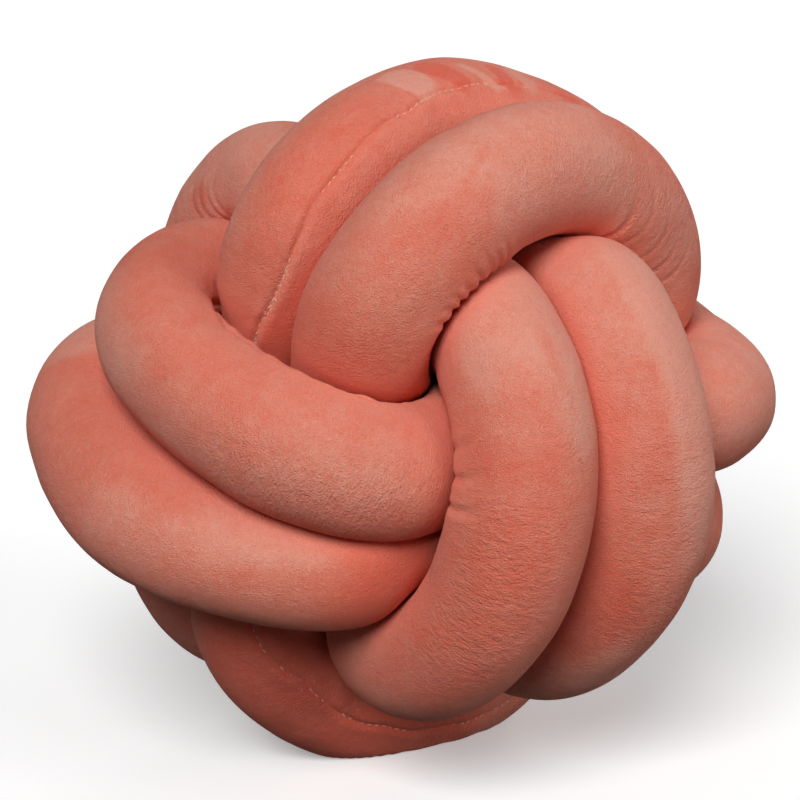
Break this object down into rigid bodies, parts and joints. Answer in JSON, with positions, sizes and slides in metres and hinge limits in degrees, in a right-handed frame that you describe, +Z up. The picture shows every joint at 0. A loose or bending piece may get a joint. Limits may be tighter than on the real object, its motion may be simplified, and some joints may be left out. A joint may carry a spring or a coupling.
{
  "type": "knot cushion",
  "caption": "Ball-shaped cushion: a long stuffed velour tube wound in interlocking turns into a tight knot, with its ends tucked in and a small flat spot to stand on.",
  "frame": {"origin": "centre of the bounding box at the surface that the ball stands on", "axes": "+Z up, -Y towards the front that the picture shows, +X to the right of that view"},
  "size_m": [0.2952, 0.2764, 0.2786],
  "materials": {
    "coral_velour": "coral velour with a short brushed nap"
  },
  "bodies": {
    "root": {"knotted_tube": "coral_velour"}
  },
  "joints": []
}
